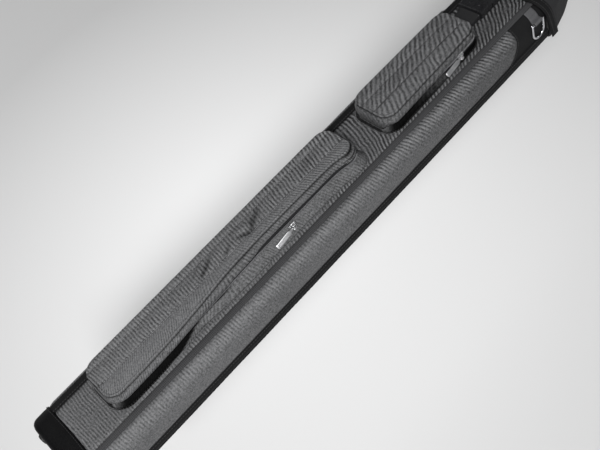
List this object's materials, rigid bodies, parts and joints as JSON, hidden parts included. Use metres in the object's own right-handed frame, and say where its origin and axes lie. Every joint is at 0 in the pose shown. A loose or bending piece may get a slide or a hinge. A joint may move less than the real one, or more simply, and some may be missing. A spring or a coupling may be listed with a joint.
{
  "type": "cue case",
  "caption": "Slender padded fabric case for cue halves, with a hinged hood, inner tubes, raised zip pockets, a side-release buckle and strap rings.",
  "frame": {"origin": "centre of the case's bounding box, on the plane of its flat back", "axes": "+X along the case from the base boot to the lid, +Z out of the front panel with the pockets, -Y the side with the zips and the upper ring"},
  "size_m": [0.872, 0.132, 0.0861],
  "materials": {
    "ribbed_fabric": "ribbed two-tone weave",
    "black_nylon": "cross-grid nylon",
    "binding_tape": "woven tape, double stitched",
    "boot_leather": "smooth leathercloth, moulded",
    "stud_rubber": "moulded",
    "zip_tape": "zip tape with moulded coil",
    "zip_metal": "bright plated",
    "buckle_plastic": "moulded acetal",
    "black_webbing": "ribbed webbing",
    "grey_webbing": "smooth webbing",
    "ring_steel": "bright plated wire",
    "core_board": "stiff board",
    "foam": "closed-cell foam",
    "tube_plastic": "extruded tube",
    "lining_cloth": "brushed lining"
  },
  "bodies": {
    "case": {"back_panel": "black_nylon", "back_piping_left": "binding_tape", "back_piping_right": "binding_tape", "base_boot": "boot_leather", "base_pad": "foam", "base_studs": "stud_rubber", "buckle_anchor": "black_webbing", "buckle_receptacle": "buckle_plastic", "butt_tube_left": "tube_plastic", "butt_tube_right": "tube_plastic", "collar_left": "black_nylon", "collar_right": "black_nylon", "core_shell": "core_board", "front_panel": "ribbed_fabric", "lid_hinge_strip": "black_nylon", "long_pocket_base": "ribbed_fabric", "long_zip_lower": "zip_tape", "lower_ring_tab": "grey_webbing", "mouth_binding": "black_nylon", "mouth_plate": "foam", "seam_binding_left": "binding_tape", "seam_binding_right": "binding_tape", "shaft_tube_1": "tube_plastic", "shaft_tube_2": "tube_plastic", "shaft_tube_3": "tube_plastic", "shaft_tube_4": "tube_plastic", "short_pocket_base": "ribbed_fabric", "short_zip_lower": "zip_tape", "side_panel_left": "ribbed_fabric", "side_panel_right": "ribbed_fabric", "tube_spacer_1": "foam", "tube_spacer_2": "foam", "tube_spacer_3": "foam", "upper_ring_tab": "grey_webbing"},
    "lid": {"lid_shell": "black_nylon", "lid_lining": "lining_cloth", "lid_hem": "black_nylon", "lid_strap": "black_webbing", "buckle_plug": "buckle_plastic"},
    "right_arm": {"buckle_arm_right": "buckle_plastic"},
    "left_arm": {"buckle_arm_left": "buckle_plastic"},
    "long_face": {"long_pocket_face": "ribbed_fabric", "long_zip_upper": "zip_tape"},
    "long_slider": {"long_zip_slider": "zip_metal"},
    "long_puller": {"long_zip_puller": "zip_metal"},
    "short_face": {"short_pocket_face": "ribbed_fabric", "short_zip_upper": "zip_tape"},
    "short_slider": {"short_zip_slider": "zip_metal"},
    "short_puller": {"short_zip_puller": "zip_metal"},
    "upper_ring": {"upper_d_ring": "ring_steel"},
    "lower_ring": {"lower_d_ring": "ring_steel"}
  },
  "joints": [
    {"name": "lid_open", "type": "hinge", "parent": "case", "child": "lid", "pos_m": [0.351, 0, 0], "axis": [0, 1, 0], "range_deg": [0, 170]},
    {"name": "right_arm_squeeze", "type": "hinge", "parent": "lid", "child": "right_arm", "pos_m": [0.3265, 0, 0.0655], "axis": [0, 0, -1], "range_deg": [0, 9], "stiffness_Nm_per_rad": 0.03},
    {"name": "left_arm_squeeze", "type": "hinge", "parent": "lid", "child": "left_arm", "pos_m": [0.3265, 0.024, 0.0655], "axis": [0, 0, 1], "range_deg": [0, 9], "stiffness_Nm_per_rad": 0.03},
    {"name": "long_pocket_open", "type": "hinge", "parent": "case", "child": "long_face", "pos_m": [-0.155, 0.033, 0.061], "axis": [-1, 0, 0], "range_deg": [0, 55]},
    {"name": "long_slider_slide", "type": "slide", "parent": "case", "child": "long_slider", "axis": [-1, 0, 0], "range_m": [0, 0.235]},
    {"name": "long_puller_swing", "type": "hinge", "parent": "long_slider", "child": "long_puller", "pos_m": [-0.076, -0.0292, 0.071], "axis": [0, 0, 1], "range_deg": [0, 170]},
    {"name": "short_pocket_open", "type": "hinge", "parent": "case", "child": "short_face", "pos_m": [0.177, 0.033, 0.061], "axis": [-1, 0, 0], "range_deg": [0, 55]},
    {"name": "short_slider_slide", "type": "slide", "parent": "case", "child": "short_slider", "axis": [-1, 0, 0], "range_m": [0, 0.105]},
    {"name": "short_puller_swing", "type": "hinge", "parent": "short_slider", "child": "short_puller", "pos_m": [0.222, -0.0322, 0.071], "axis": [0, 0, 1], "range_deg": [0, 170]},
    {"name": "upper_ring_swing", "type": "hinge", "parent": "case", "child": "upper_ring", "pos_m": [0.331, -0.0606, 0.046], "axis": [-1, 0, 0], "range_deg": [0, 70]},
    {"name": "lower_ring_swing", "type": "hinge", "parent": "case", "child": "lower_ring", "pos_m": [-0.372, 0.062, 0.032], "axis": [1, 0, 0], "range_deg": [0, 150]}
  ],
  "couplings": [
    {"joint": "left_arm_squeeze", "follows": "right_arm_squeeze", "ratio": 1},
    {"joint": "long_slider_slide", "follows": "long_pocket_open", "m_per_rad": 0.24469},
    {"joint": "short_slider_slide", "follows": "short_pocket_open", "m_per_rad": 0.10933}
  ]
}
